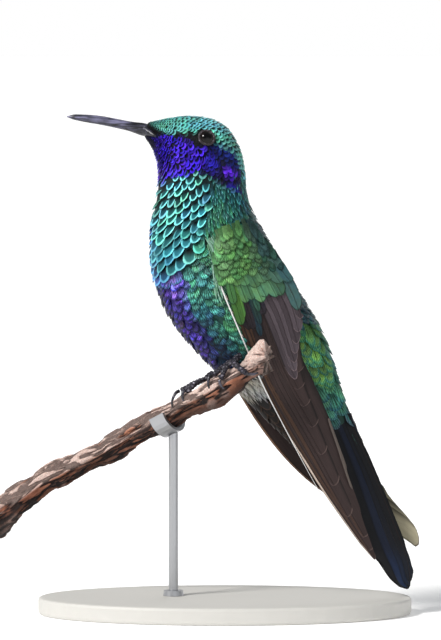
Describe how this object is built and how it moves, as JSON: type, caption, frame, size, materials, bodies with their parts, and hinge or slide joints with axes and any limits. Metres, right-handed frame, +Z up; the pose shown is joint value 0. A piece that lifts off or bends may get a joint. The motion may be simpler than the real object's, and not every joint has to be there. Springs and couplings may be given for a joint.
{
  "type": "perched hummingbird model on a display stand",
  "caption": "Still, life-size model of a violet-eared hummingbird gripping a cut length of twig, held by a rod on a flat oval stand.",
  "frame": {"origin": "centre of the stand base's underside, on the floor", "axes": "+Z up; the bird faces -X, with its left side towards -Y; the twig runs from -X up to +X across the bird's left side"},
  "size_m": [0.1026, 0.052, 0.1151],
  "materials": {
    "crown": "iridescent teal-green scale-like feathers",
    "throat": "iridescent turquoise feathers with violet patches",
    "green": "iridescent green body feathers",
    "flight": "dusky brown flight feathers",
    "tail": "blue-black tail feathers",
    "horn": "dark satin horn",
    "eye": "glossy near-black eye",
    "bark": "weathered bark",
    "stand_base": "satin dark paint",
    "stand_metal": "satin metal"
  },
  "bodies": {
    "root": {"belly": "green", "bill_lower": "horn", "bill_upper": "horn", "breast": "throat", "claw_left_1": "horn", "claw_left_2": "horn", "claw_left_3": "horn", "claw_left_4": "horn", "claw_right_1": "horn", "claw_right_2": "horn", "claw_right_3": "horn", "claw_right_4": "horn", "eye_left": "eye", "eye_right": "eye", "head": "crown", "leg_left": "horn", "leg_right": "horn", "neck": "throat", "perch_twig": "bark", "rump": "green", "stand_base": "stand_base", "stand_cradle": "stand_metal", "stand_rod": "stand_metal", "tail_left": "tail", "tail_right": "tail", "wing_left_coverts": "green", "wing_left_primaries": "flight", "wing_left_shoulder": "green", "wing_right_coverts": "green", "wing_right_primaries": "flight", "wing_right_shoulder": "green"}
  },
  "joints": []
}
